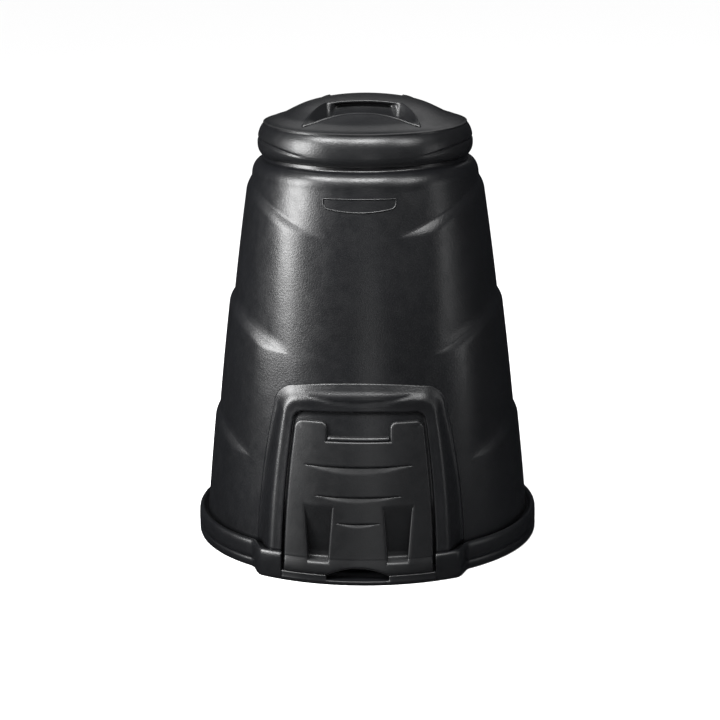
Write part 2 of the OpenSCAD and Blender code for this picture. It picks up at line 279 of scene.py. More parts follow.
# ---- Hatch surround ---------------------------------------------------------
# Part of the same moulding: a rounded frame that rises out of the drum round the hatch
# and leans out to the base ring. Inside it a recess takes the door, and the floor of
# the recess has the opening through which the compost is dug out.
PORCH_H = 381
PORCH_FOOT_W = 206
PORCH_DRAW = 50
BAND_OUT = 8
BROW_OUT = 6
DOOR_TOP = door_high.z / MM
DOOR_FOOT_W = 142.5
DOOR_DRAW = 21.5
SILL_Z = 20
PORCH_FOOT_R = FRONT_R - BAND_OUT
PORCH_TOP_R = drum_r(PORCH_H) + BROW_OUT
DOOR_GAP = 8
DOOR_SET = 3
RECESS_DEEP = 5
RECESS_TOP = DOOR_TOP + 22
CHANNEL_TOP = 150


def porch_r(z):
    """Radius of the surround's face."""
    return PORCH_FOOT_R + (PORCH_TOP_R - PORCH_FOOT_R) * (z - RING_H) / (PORCH_H - RING_H)


def door_r(z):
    """Radius of the door's face above its lip."""
    return porch_r(z) - DOOR_SET


def recess_r(z):
    """Radius of the recess's floor: plumb behind the door's hand channels."""
    return door_r(max(z, CHANNEL_TOP)) - RECESS_DEEP


def door_w(z):
    """Half width of the door at height z."""
    return DOOR_FOOT_W - DOOR_DRAW * (z / DOOR_TOP) ** 2


def porch_w(z):
    """Half width of the surround at height z."""
    return PORCH_FOOT_W - PORCH_DRAW * (z / PORCH_H) ** 2


def hoop(width, low, top, corner, crown, counts=(40, 12, 20)):
    """Points of an arched outline, from its left foot over the top to its right foot."""
    sides, corners, head = counts
    turn = top - crown - corner
    w = width(turn)
    right = [(width(z), z) for z in spread(low, (sides, turn))]
    for i in range(1, corners + 1):
        a = radians(90 * i / corners)
        right.append((w - corner + corner * cos(a), turn + corner * sin(a)))
    half = w - corner
    for i in range(1, head + 1):
        x = half * (1 - i / head)
        right.append((x, top - crown * (x / half) ** 2))
    left = [(-x, z) for x, z in right]
    return left + right[-2::-1]


def toward(a, b, t):
    """Point a share t of the way from a to b."""
    return (a[0] + (b[0] - a[0]) * t, a[1] + (b[1] - a[1]) * t)


HOLE_W = 112
HOLE_LOW = SILL_Z + 10
HOLE_TOP = DOOR_TOP - 56
FRAME_FOOT = RING_H - 1
recess_line = hoop(lambda z: door_w(z) + DOOR_GAP, SILL_Z, RECESS_TOP, corner=22, crown=3)
hole_line = hoop(lambda z: HOLE_W, HOLE_LOW, HOLE_TOP, corner=24, crown=1)
frame_line = hoop(lambda z: door_w(z) + DOOR_GAP, FRAME_FOOT, RECESS_TOP, corner=22, crown=3)
porch_line = hoop(porch_w, FRAME_FOOT, PORCH_H, corner=44, crown=10)

# Across the frame from the recess's edge to the drum: place, share of the full height
# over the drum, and the fine beads on top of it
FRAME_SECTION = (
    (0.000, 0.90, -2.6), (0.012, 0.95, -1.8), (0.030, 0.98, -1.2), (0.055, 1.00, -0.9), (0.09, 1.00, -0.7),
    (0.14, 1.00, -0.4), (0.20, 1.00, 0.1), (0.27, 1.00, 0.8), (0.34, 1.00, 1.6), (0.40, 0.98, 2.2),
    (0.46, 0.94, 2.5), (0.52, 0.88, 2.1), (0.58, 0.78, 1.5), (0.64, 0.65, 0.9), (0.70, 0.50, 0.2),
    (0.76, 0.36, -0.1), (0.82, 0.24, 0.0), (0.87, 0.15, 0.5), (0.91, 0.09, 1.3), (0.945, 0.06, 2.2),
    (0.965, 0.04, 2.2), (0.985, 0.02, 1.4), (1.0, 0.0, -1.5))


BROW_FULLER = 0.62
DIMPLE_W, DIMPLE_H, DIMPLE_DEEP = 112, 18, 3.6
DIMPLE_TOP = PORCH_H - 24


def frame_point(k, j):
    """The frame rolls over more fully along its top, where a crescent dimple is pressed in."""
    share, rise, bead = FRAME_SECTION[j]
    x, z = toward(frame_line[k], porch_line[k], share)
    ground = drum_r(z)
    brow = ease(PORCH_H - 50, PORCH_H - 4, porch_line[k][1])
    rise **= 1 - BROW_FULLER * brow
    bead *= 1 - brow * ease(0.6, 0.85, share)
    r = ground + rise * (porch_r(z) - ground) + bead
    across = 1 - (x / DIMPLE_W) ** 2
    if across > 0:
        height = DIMPLE_H * across
        down = (DIMPLE_TOP - z) / height
        if 0 < down < 1:
            r -= DIMPLE_DEEP * min(1, across * 3) * ease(0, 0.2, 1 - down) * down
    return ahead(x, r, z)


surround = skin("hatch_surround", len(frame_line) - 1, len(FRAME_SECTION) - 1, frame_point)

# Rows of the recess: its floor from the opening's edge outwards, one row for the rounded
# corner, and its side out to the frame
RECESS_FLOOR_ROWS, RECESS_SIDE_ROWS = 8, 4


def recess_point(k, j):
    if j <= RECESS_FLOOR_ROWS:
        x, z = toward(hole_line[k], recess_line[k], j / RECESS_FLOOR_ROWS * 0.985)
        return ahead(x, recess_r(z), z)
    side_row = j - RECESS_FLOOR_ROWS - 2
    if side_row < 0:
        x, z = toward(hole_line[k], recess_line[k], 0.996)
        return ahead(x, recess_r(z) + 0.6, z)
    x, z = recess_line[k]
    inner = recess_r(z) + 2.5
    edge = drum_r(z) + 0.90 * (porch_r(z) - drum_r(z)) - 2.2 if z > FRAME_FOOT else FRONT_R - 6
    return ahead(x, inner + (edge - inner) * side_row / RECESS_SIDE_ROWS, z)


recess = skin("recess", len(recess_line) - 1, RECESS_FLOOR_ROWS + 2 + RECESS_SIDE_ROWS, recess_point)
for piece in (surround, recess):
    thicken(piece, WALL)

# The drum is open behind the surround, so compost reaches the hatch. The cutter is a
# block of the opening's outline, as (share of the outline, Y) from its front to its back.
cut_line = hoop(lambda z: porch_w(z) - 26, -30, PORCH_H - 24, corner=30, crown=8, counts=(6, 6, 6))
cut_line.append(cut_line[0])
CUT_PLAN = ((0, -450), (1, -450), (1, -120), (0, -120))
CUT_CENTRE = (0, 150)


def cutter_point(k, j):
    grow, y = CUT_PLAN[j]
    x, z = toward(CUT_CENTRE, cut_line[k], grow)
    return Vector((x, y, z)) * MM


def carve(piece, cutter):
    """Cuts one closed shape out of another and clears the cutter away."""
    face_outwards(cutter)
    bpy.context.view_layer.objects.active = piece
    cut = piece.modifiers.new("cut", "BOOLEAN")
    cut.object = cutter
    bpy.ops.object.modifier_apply(modifier=cut.name)
    bpy.data.objects.remove(cutter)


carve(drum, skin("cutter", len(cut_line) - 1, 3, cutter_point))

for piece in (drum, surround, recess):
    piece.data.materials.append(drum_plastic)
    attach(piece, "bin")
    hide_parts("bin_body")


# ---- Base ring --------------------------------------------------------------
# The foot of the same moulding: a rolled ring with two beads and a rain trough behind
# its lip. In front it swells out to carry the hatch and stops on each side of the door.
BAND_FULL, BAND_END = 30, 38.5
DOOR_SIDE = DOOR_FOOT_W + DOOR_GAP + 0.5
RING_STOP = 24
TROUGH_Z, TROUGH_FALL = 52, 5.5
# Section of the ring as (out, height), at the sides and across the front band
RING_SIDE = (
    (-5, 0), (-1.4, 1), (-0.2, 4), (0, 9), (0, 13), (-0.9, 15.8), (-2.6, 18.2), (-1.1, 20.4), (0, 23),
    (0.1, 30), (0, 38), (-0.3, 45), (-1.3, 50), (-3.2, 53.6), (-6, 55), (-9, 54.6), (-11.5, 52.6),
    (-13.5, 49.5), (-16, 47.4))
RING_FRONT = (
    (-5, 0), (-1.4, 1), (-0.2, 4), (0, 9), (0, 13), (0, 15.8), (0, 18.2), (0, 20.4), (0, 23),
    (0, 30), (-0.3, 38), (-1, 45), (-2.2, 50), (-3.9, 53.4), (-6.4, 55), (-8.5, 55.2), (-10.5, 54.9),
    (-12, 54.2), (-13.5, 53))
ring_angles = spread(RING_STOP, (16, BAND_FULL), (30, BAND_END), (180, 360 - BAND_END),
                     (30, 360 - BAND_FULL), (16, 360 - RING_STOP))


def ring_point(k, j):
    """The ring stops at the door's side, so near there its angle follows its radius."""
    angle = ring_angles[k]
    from_front = min(angle, 360 - angle)
    swell = 1 - ease(BAND_FULL, BAND_END, from_front)
    plan = BASE_R + (FRONT_R - BASE_R) * swell
    if j < len(RING_SIDE):
        out, z = toward(RING_SIDE[j], RING_FRONT[j], swell)
        r = plan + out
    else:
        deep = ease(RING_STOP + 2, BAND_FULL, from_front)
        r = plan - 14 + (FOOT_R - 2.5 - plan + 14) * deep
        z = TROUGH_Z - TROUGH_FALL * deep
    near_stop = 1 - ease(RING_STOP, RING_STOP + 9, from_front)
    turn = radians(from_front) + (asin(DOOR_SIDE / r) - radians(RING_STOP)) * near_stop
    return around(turn if angle < 180 else -turn, r, z)


ring = skin("base_ring", len(ring_angles) - 1, len(RING_SIDE), ring_point)
thicken(ring, WALL)
ring.data.materials.append(drum_plastic)
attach(ring, "bin")
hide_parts("bin_body")


# ---- Sill -------------------------------------------------------------------
# The low step that the hatch door stands on, part of the ring moulding. It has a finger
# scoop in the middle, and two slots that take the feet of the door.
SCOOP_W = 61
SCOOP_DEEP = 18
FOOT_X = (70, 92)
FOOT_BACK = door_r(CHANNEL_TOP) - 4
sill_x = spread(-DOOR_SIDE, (24, -SCOOP_W - 0.2), (1, -SCOOP_W + 0.2), (32, SCOOP_W - 0.2),
                (1, SCOOP_W + 0.2), (24, DOOR_SIDE))
# Section of the sill as (out, height), beside the scoop and through it
SILL_SECTION = (
    (-5, 0), (-1.4, 1), (-0.2, 3), (0, 6), (0, 7.6), (-0.2, 8.5), (-0.6, 9), (0, 17.6), (-0.5, 19),
    (-1.8, 19.9), (-3.5, SILL_Z), (-SCOOP_DEEP, SILL_Z), (-SCOOP_DEEP - 0.3, SILL_Z), (-28, SILL_Z))
SCOOP_SECTION = (
    (-5, 0), (-1.4, 1), (-0.2, 3), (0, 6), (-0.1, 7.4), (-0.7, 8.6), (-2, 9), (-4, 9.3), (-7, 9.9),
    (-11, 10.8), (-15, 12), (-SCOOP_DEEP, 13.2), (-SCOOP_DEEP - 0.3, SILL_Z), (-28, SILL_Z))


def sill_point(k, j):
    x = sill_x[k]
    if j < len(SILL_SECTION):
        out, z = (SCOOP_SECTION if abs(x) < SCOOP_W else SILL_SECTION)[j]
        return ahead(x, FRONT_R + out, z)
    top = HOLE_LOW - 10 * max(0, abs(x) - HOLE_W) / (DOOR_SIDE - HOLE_W)
    z = SILL_Z if j == len(SILL_SECTION) else top
    return ahead(x, recess_r(SILL_Z) + 0.2, z)


sill = skin("hatch_sill", len(sill_x) - 1, len(SILL_SECTION) + 1, sill_point)
thicken(sill, WALL)
SLOT_SIZE = Vector((28, 13, 16)) * MM
for side in (-1, 1):
    bpy.ops.object.select_all(action="DESELECT")
    mid = side * (FOOT_X[0] + FOOT_X[1]) / 2
    bpy.ops.mesh.primitive_cube_add(size=1, location=ahead(mid, FOOT_BACK + 5, SILL_Z - 2), scale=SLOT_SIZE)
    bpy.ops.object.transform_apply(location=True, rotation=True, scale=True)
    carve(sill, bpy.context.object)

# Keeper: a ledge on the recess's floor that fills the notch in the door's top edge and
# stops the door from falling forward.
KEEPER_Z = DOOR_TOP - 33.5
KEEPER_W = 60
KEEPER_WALL = 1.2
KEEPER_SECTION = ((-1.5, 0.5), (0, 0.2), (6.6, 0.9), (7.6, 1.5), (7.6, 4.2), (7.0, 7.6), (1.6, 8.8),
                  (-1.5, 9))
keeper_x = spread(-KEEPER_W, (1, -KEEPER_W + 0.4), (1, -KEEPER_W + 1.2), (30, KEEPER_W - 1.2),
                  (1, KEEPER_W - 0.4), (1, KEEPER_W))


def keeper_point(k, j):
    out, up = KEEPER_SECTION[j]
    at_end = min(k, len(keeper_x) - 1 - k)
    out = min(out, -1.5) if at_end == 0 else out * 0.9 if at_end == 1 else out
    return ahead(keeper_x[k], recess_r(KEEPER_Z + up) + out, KEEPER_Z + up)


keeper = skin("door_keeper", len(keeper_x) - 1, len(KEEPER_SECTION) - 1, keeper_point)
thicken(keeper, KEEPER_WALL)
for piece in (sill, keeper):
    piece.data.materials.append(drum_plastic)
    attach(piece, "bin")
    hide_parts("bin_body")


# ---- Name panel -------------------------------------------------------------
# A blank panel moulded on the front of the shoulder, with a fine raised rim.
PLATE_W = 73
PLATE_TOP = DRUM_TOP - 14
PLATE_LOW = PLATE_TOP - 29


def plate_outline():
    """The panel's outline: straight top, rounded corners and a bellied lower edge."""
    half = [(x, PLATE_TOP) for x in spread(0, (16, PLATE_W - 6))]
    for degree in spread(90, (8, 0)):
        a = radians(degree)
        half.append((PLATE_W - 5 + 5 * cos(a), PLATE_TOP - 5 + 5 * sin(a)))
    for degree in spread(0, (10, -70)):
        a = radians(degree)
        half.append((PLATE_W - 15 + 14.4 * cos(a), PLATE_TOP - 11 + 12.5 * sin(a)))
    end_x, end_z = half[-1]
    for x in spread(end_x, (20, 0))[1:]:
        half.append((x, PLATE_LOW + (end_z - PLATE_LOW) * (x / end_x) ** 2))
    return half + [(-x, z) for x, z in half[-2::-1]]


plate_line = plate_outline()
PLATE_WALL = 1
# Section of the raised rim as (inset from the outline, out from the drum)
PLATE_RIM = ((4.2, -0.6), (3.8, 0.1), (3.2, 0.9), (2.5, 1.5), (1.6, 1.6), (0.9, 1.2), (0.3, 0.3),
             (-0.2, -1.0))


def plate_point(k, j):
    x, z = plate_line[k]
    before, after = plate_line[k - 1 if k else -2], plate_line[k + 1 if k < len(plate_line) - 1 else 1]
    tangent = Vector(after) - Vector(before)
    tangent.normalize()
    inset, out = PLATE_RIM[j]
    px, pz = x + tangent.y * inset, z - tangent.x * inset
    return ahead(px, drum_r(pz) + out, pz)


plate = skin("name_panel", len(plate_line) - 1, len(PLATE_RIM) - 1, plate_point)
thicken(plate, PLATE_WALL)
plate.data.materials.append(drum_plastic)
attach(plate, "bin")
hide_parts("bin_body")


# ---- Lid --------------------------------------------------------------------
# A separate domed moulding of the same plastic. Two deep finger pockets leave a wide
# handle across the crown, and a rolled rim with a sweeping groove hangs over the neck.
LID_WALL = 3
LID_WELD = 0.00005
# Profile of the dome as (radius, drop)
CROWN = ((-40, -1.6), (0, 0), (40, -1.6), (74, -5.6), (102, -11.2), (123, -17.4), (139, -24.2),
         (155, -32.2), (166, -37.8), (178, -42.2), (190, -46.2), (198, -50.0), (204, -54.2), (210, -60))
RIM_START = LID_R - 26
# One pocket: its floor, half length and depth from the lid's centre of the handle's edge,
# its front corner, the nearest point of its front arc and the ridge round it
POCKET_Z = BIN_H - 45
BAR_HALF = 72
BAR_DEEP = 56
TIP = (114, 143)
ARC_REACH = 128
RIDGE = 2.2
RIDGE_W = 2.2


def flow(stops, t):
    """Value at t of a smooth curve through (t, value) stops."""
    i = 1
    while i < len(stops) - 3 and t > stops[i + 1][0]:
        i += 1
    (ta, va), (tb, vb), (tc, vc), (td, vd) = stops[i - 1:i + 3]
    span = tc - tb
    u = (t - tb) / span
    slope_b, slope_c = (vc - va) / (tc - ta) * span, (vd - vb) / (td - tb) * span
    return ((2 * u ** 3 - 3 * u ** 2 + 1) * vb + (u ** 3 - 2 * u ** 2 + u) * slope_b
            + (3 * u ** 2 - 2 * u ** 3) * vc + (u ** 3 - u ** 2) * slope_c)


def crown_z(r):
    """Height of the dome at radius r."""
    return BIN_H + flow(CROWN, r)


def lid_point(x, d, z):
    """Point at an X, a depth in front of the lid's centre and a height."""
    return Vector((x * MM, (AXIS_Y - d) * MM, z * MM))


# Outline of one pocket as (x, depth): along the handle, out along a flared side, round the
# front arc and back, each point paired with one on the edge of the half dome
def pocket_side(t):
    """Point of the flared side, from the handle's corner to the pocket's tip."""
    bow = 4 * t * (1 - t)
    return BAR_HALF + (TIP[0] - BAR_HALF) * t + 7 * bow, BAR_DEEP + (TIP[1] - BAR_DEEP) * t


BAR_COLUMNS, SIDE_A, SIDE_B, ARC_COLUMNS = 48, 18, 26, 84
TIP_TURN = atan2(TIP[0], TIP[1])
pocket_line, dome_line, rim_turns = [], [], []
for i in range(BAR_COLUMNS):
    x = BAR_HALF * (2 * i / BAR_COLUMNS - 1)
    pocket_line.append((x, BAR_DEEP))
    dome_line.append((x, 0))
for i in range(SIDE_A):
    pocket_line.append(pocket_side(0.6 * i / SIDE_A))
    dome_line.append((BAR_HALF + (RIM_START - BAR_HALF) * i / SIDE_A, 0))
for i in range(SIDE_B):
    turn = pi / 2 + (TIP_TURN - pi / 2) * i / SIDE_B
    pocket_line.append(pocket_side(0.6 + 0.4 * i / SIDE_B))
    dome_line.append((RIM_START * sin(turn), RIM_START * cos(turn)))
    rim_turns.append(turn)
for i in range(ARC_COLUMNS + 1):
    turn = TIP_TURN * (1 - 2 * i / ARC_COLUMNS)
    x = TIP[0] * (1 - 2 * i / ARC_COLUMNS)
    pocket_line.append((x, ARC_REACH + (TIP[1] - ARC_REACH) * (abs(x) / TIP[0]) ** 2.2))
    dome_line.append((RIM_START * sin(turn), RIM_START * cos(turn)))
    rim_turns.append(turn)
rim_turns += [-turn for turn in rim_turns[SIDE_B - 1::-1]]
pocket_line += [(-x, d) for x, d in pocket_line[BAR_COLUMNS + SIDE_A + SIDE_B - 1:BAR_COLUMNS:-1]]
dome_line += [(-x, d) for x, d in dome_line[BAR_COLUMNS + SIDE_A + SIDE_B - 1:BAR_COLUMNS:-1]]
pocket_line.append(pocket_line[0])
dome_line.append(dome_line[0])

# Down from the pocket's edge: under the handle as (depth from its edge, drop), elsewhere as
# (inset, share of the pocket's depth)
BAR_WALL = ((0.2, -1.0), (0.5, -2.2), (0.3, -3.6), (-0.8, -4.6), (-3.5, -5.2), (-8, -6.0), (-11.4, -7.6),
            (-12, -10.2), (-10, -13.4), (-6, -17.2), (0, -21.6), (8, -26.4), (18, -31.2), (30, -35.8))
SIDE_WALL = ((0.6, 0.0), (1.3, 0.02), (2.1, 0.06), (3.2, 0.13), (4.8, 0.23), (6.8, 0.34), (9.2, 0.46),
             (12, 0.58), (15, 0.69), (18, 0.78), (21.4, 0.86), (25, 0.92), (29, 0.97), (34, 1.0))
FLOOR_ROWS = 3
DOME_ROWS = 18
FLOOR_COVER = 1.2
# Line along the middle of the pocket's floor, bowed towards the front at its ends
SPINE_W, SPINE_SHARE, SPINE_DEEP, SPINE_BOW = 96, 0.9, 98, 38


def dome_z(x, d):
    """Height of the dome at an X and a depth."""
    return crown_z(hypot(x, d))


def floor_z(x, d):
    """Height of the pocket's floor, kept just under the dome where the dome is low."""
    return min(POCKET_Z, dome_z(x, d) - FLOOR_COVER)


def pocket_point(k, j):
    """Rows run from the line along the floor's middle up the wall and out over the dome."""
    x, d = pocket_line[k]
    on_bar = k <= BAR_COLUMNS or k == len(pocket_line) - 1
    ridge = 0 if on_bar else RIDGE
    j -= FLOOR_ROWS
    if j >= len(BAR_WALL):
        t = (j - len(BAR_WALL)) / DOME_ROWS
        if on_bar and t == 0:
            return lid_point(x, d - 0.9, dome_z(x, d) - 0.2)
        px, pd = toward((x, d), dome_line[k], 0.012 + 0.988 * t ** 1.5 if t else 0)
        return lid_point(px, pd, dome_z(px, pd) + ridge * max(0, 1 - hypot(px - x, pd - d) / RIDGE_W))
    row = len(BAR_WALL) - 1 - max(0, j)
    spine_x = max(-SPINE_W, min(SPINE_W, x * SPINE_SHARE))
    spine = (spine_x, SPINE_DEEP + SPINE_BOW * (spine_x / SPINE_W) ** 2)
    inset, drop = SIDE_WALL[row]
    reach = hypot(spine[0] - x, spine[1] - d)
    px, pd = toward((x, d), spine, min(0.85, inset / max(reach, 1)))
    edge = dome_z(x, d) + ridge
    z = edge + (floor_z(px, pd) - edge) * drop
    if on_bar:
        under = ease(BAR_HALF, 0.72 * BAR_HALF, abs(x))
        out, fall = BAR_WALL[row]
        px, pd = toward((px, pd), (x, BAR_DEEP + out), under)
        z += (max(dome_z(x, d) + fall, POCKET_Z) - z) * under
    if j < 0:
        px, pd = toward((px, pd), spine, -j / FLOOR_ROWS)
        z = floor_z(px, pd)
    return lid_point(px, pd, z)


# The rear half is the front half mirrored about the lid's own axis.
lid = skin("lid_shell", len(pocket_line) - 1, FLOOR_ROWS + len(BAR_WALL) + DOME_ROWS, pocket_point)
bpy.context.view_layer.objects.active = lid
lid.location = (0, -AXIS_Y * MM, 0)
bpy.ops.object.transform_apply(location=True, rotation=False, scale=False)
mirror = lid.modifiers.new("mirror", "MIRROR")
mirror.use_axis = (False, True, False)
mirror.use_clip = True
mirror.merge_threshold = LID_WELD
bpy.ops.object.modifier_apply(modifier=mirror.name)
lid.location = (0, AXIS_Y * MM, 0)
bpy.ops.object.transform_apply(location=True, rotation=False, scale=False)

# Top of the rim as (out, height over its lower edge); None follows the dome. Below it the
# belly, and a groove that starts at an angle from the front and climbs towards the side.
RIM_TOP = ((-26, None), (-23, None), (-20, None), (-17.4, None), (-14.9, 61.9), (-12.4, 59.8), (-10, 57.3),
           (-7.8, 54.4), (-5.8, 51), (-4.3, 47.8), (-3.2, 44.8), (-2.3, 41.8), (-1.6, 38.8))
RIM_BELLY = ((0, -7.4), (1.5, -6.2), (4, -4.4), (8, -2.2), (13, -0.7), (18, 0), (24, 0), (30, -0.4),
             (35, -1), (38.8, -1.6))
BELLY_H = 38.8
BELLY_ROWS = 30
GROOVE_START = sin(radians(27))
GROOVE_LOW, GROOVE_CLIMB, GROOVE_DEEP, GROOVE_W = 17, 15, 2.6, 2.3


def rim_point(k, j):
    """Rows run from the dome down over the rim to its lower edge."""
    turn = all_turns[k]
    if j < len(RIM_TOP):
        out, up = RIM_TOP[j]
        r = LID_R + out
        return around(turn, r, crown_z(r) if up is None else RIM_Z + up)
    up = BELLY_H * (1 - (j - len(RIM_TOP) + 1) / BELLY_ROWS)
    side = abs(sin(turn))
    centre = GROOVE_LOW + GROOVE_CLIMB * ease(GROOVE_START, 1, side)
    depth = GROOVE_DEEP * ease(GROOVE_START - 0.02, GROOVE_START + 0.35, side)
    dip = depth * exp(-((up - centre) / GROOVE_W) ** 2)
    return around(turn, LID_R + along(RIM_BELLY, up) - dip, RIM_Z + up)


all_turns = rim_turns + [-pi - turn for turn in rim_turns[-2::-1]]
rim = skin("lid_rim", len(all_turns) - 1, len(RIM_TOP) + BELLY_ROWS - 1, rim_point)
bpy.ops.object.select_all(action="DESELECT")
rim.select_set(True)
lid.select_set(True)
bpy.context.view_layer.objects.active = lid
bpy.ops.object.join()
bpy.ops.object.mode_set(mode="EDIT")
bpy.ops.mesh.select_all(action="SELECT")
bpy.ops.mesh.remove_doubles(threshold=LID_WELD)
bpy.ops.object.mode_set(mode="OBJECT")
face_outwards(lid)
thicken(lid, LID_WALL)

# Ring under the dome that seats the lid on the neck
SEAT_SECTION = ((-5, 0), (0, 0), (0, 27), (-5, 28.5), (-5, 0))
seat = skin("lid_seat", 144, 4,
            lambda i, j: around(2 * pi * i / 144, NECK_R + SEAT_SECTION[j][0], NECK_TOP + SEAT_SECTION[j][1]))
face_outwards(seat)
bpy.ops.object.shade_smooth_by_angle(angle=radians(40))
lid_plastic = moulded_plastic("lid_plastic", (0.0038, 0.0040, 0.0045), 0.34, 0.35)
for piece in (lid, seat):
    piece.data.materials.append(lid_plastic)
    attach(piece, "lid")
    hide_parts("lid")


# ---- Hatch door -------------------------------------------------------------
# A loose moulding of the same plastic that lifts out by its lip: a stiff plate with two
# finger channels, three pressed crescents, a notch in its top edge and two feet below.
DOOR_FOOT = SILL_Z + 0.5
DOOR_WALL = 4
PLATE_SKIN = 3
EDGE_ROUND, EDGE_FALL = 2, 1.5
CHANNEL_R = door_r(CHANNEL_TOP)
CHANNEL_LOW = RING_H - 12
NOTCH_W = 64
NOTCH_Z = DOOR_TOP - 36
EDGE_CORNER, NOTCH_CORNER = 14, 9
# The pressed crescents as (half width, height, top edge, depth)
CRESCENTS = ((108, 16, DOOR_TOP - 80, 3.8), (86, 12, DOOR_TOP - 137, 3.4), (44, 9, DOOR_TOP - 187, 3.0))
# Face of the lip as (height, radius), from its foot up to the plate
LIP_R = 377
LIP_SECTION = (
    (20.5, 362), (20.5, 373.5), (20.9, 375.6), (22, 376.7), (24, LIP_R), (27, 376.8), (30, 376.3),
    (34, 375.4), (38, 374.2), (42.2, 372.8), (43.4, 372.3), (45, 371.7), (46.8, 371.0), (48.4, 370.4),
    (49.6, 370.1), (50.6, 370.05), (52, 369.8))
LIP_FACE_ROW = 4
LIP_ARCH, LIP_ARCH_TOP = 15, 50


def channel_out(z):
    """Outer side of the finger channel, and the line that the plate's columns follow above it."""
    return along(((CHANNEL_LOW, 98), (CHANNEL_TOP, 106), (DOOR_TOP, 102)), z)


def channel_in(z):
    """Inner side of the finger channel, and above it the side of the notch."""
    return along(((CHANNEL_LOW, 56), (CHANNEL_TOP, 48), (NOTCH_Z - 6, NOTCH_W)), z)


# Columns from the edge to the middle: an offset from the edge or from a side of the
# channel, or a share of the way across the field between them. The channel's rim is
# rounded: it has fallen by so much at these columns, and drops away inside them.
plate_columns = [("edge", o) for o in (0, 0, 0.45, 1.0, 1.8, 3.0)]
plate_columns += [("edge field", t) for t in (0.15, 0.29, 0.43, 0.57, 0.71, 0.85)]
plate_columns += [("out", o) for o in (3.0, 1.7, 0.8, 0.2, -0.3, -1.0, -2.4)]
plate_columns += [("channel", t / 18) for t in range(1, 18)]
plate_columns += [("in", o) for o in (2.4, 1.2, 0.5, 0, -0.35, -0.9, -1.8, -3.0)]
plate_columns += [("middle", t / 22) for t in range(1, 23)]
CHANNEL_RIM = {("out", 3.0): 0, ("out", 1.7): 0.12, ("out", 0.8): 0.5, ("out", 0.2): 1.6,
               ("in", -0.35): 1.6, ("in", -0.9): 0.5, ("in", -1.8): 0.12, ("in", -3.0): 0}
# How far the channel's floor curves out at its foot, as (height, out)
CHANNEL_FOOT = ((42.2, 40), (43.4, 9), (46, 4), (50, 1.8), (58, 0))
plate_rows = [z for z, r in LIP_SECTION] + spread(54, (26, 105))
for half, drop, top, deep in CRESCENTS[::-1]:
    low = top - drop - 2
    start = plate_rows[-1]
    plate_rows += spread(start, (max(1, round((low - start) / 2.6)), low))[1:]
    plate_rows += spread(low, (10, top - 0.5))[1:] + [top + 0.1, top + 1.2]
plate_rows += spread(plate_rows[-1], (14, NOTCH_Z - 3))[1:] + [NOTCH_Z - o for o in (1.8, 1.0, 0.45, 0)]
plate_rows += [NOTCH_Z + 0.4] + spread(NOTCH_Z + 2, (12, DOOR_TOP - 3))
plate_rows += [DOOR_TOP - o for o in (1.8, 1.0, 0.45, 0, 0)]
NOTCH_ROW = plate_rows.index(NOTCH_Z)
LAST_ROW = len(plate_rows) - 1
ALL_COLUMNS = 2 * len(plate_columns) - 1
NOTCH_COLUMN = plate_columns.index(("in", 0))


def column_x(kind, amount, z):
    """X of a column at height z."""
    edge, outer, inner = door_w(z), channel_out(z), channel_in(z)
    if kind == "edge":
        return edge - amount
    if kind == "edge field":
        return edge - 3 + (outer + 3 - edge + 3) * amount
    if kind == "out":
        return outer + amount
    if kind == "channel":
        return outer - 2.4 + (inner + 2.4 - outer + 2.4) * amount
    if kind == "in":
        return inner + amount
    return (inner - 3) * (1 - amount)


def soften(gap):
    """How far a rounded edge falls back at a distance from it."""
    return 0 if gap >= EDGE_ROUND else EDGE_FALL * (1 - sqrt(1 - (1 - gap / EDGE_ROUND) ** 2))


def round_corner(x, z, corner_x, side, radius):
    """Bends the plate's square corner to a round one; side is +1 where the corner is outwards."""
    centre_x, centre_z = corner_x - side * radius, DOOR_TOP - radius
    reach = door_w(z) - centre_x if side > 0 else radius
    u, v = side * (x - centre_x) / abs(reach), (z - centre_z) / radius
    if u <= 0 or v <= 0:
        return x, z
    scale = max(u, v) / hypot(u, v)
    return centre_x + side * u * scale * radius, centre_z + v * scale * radius


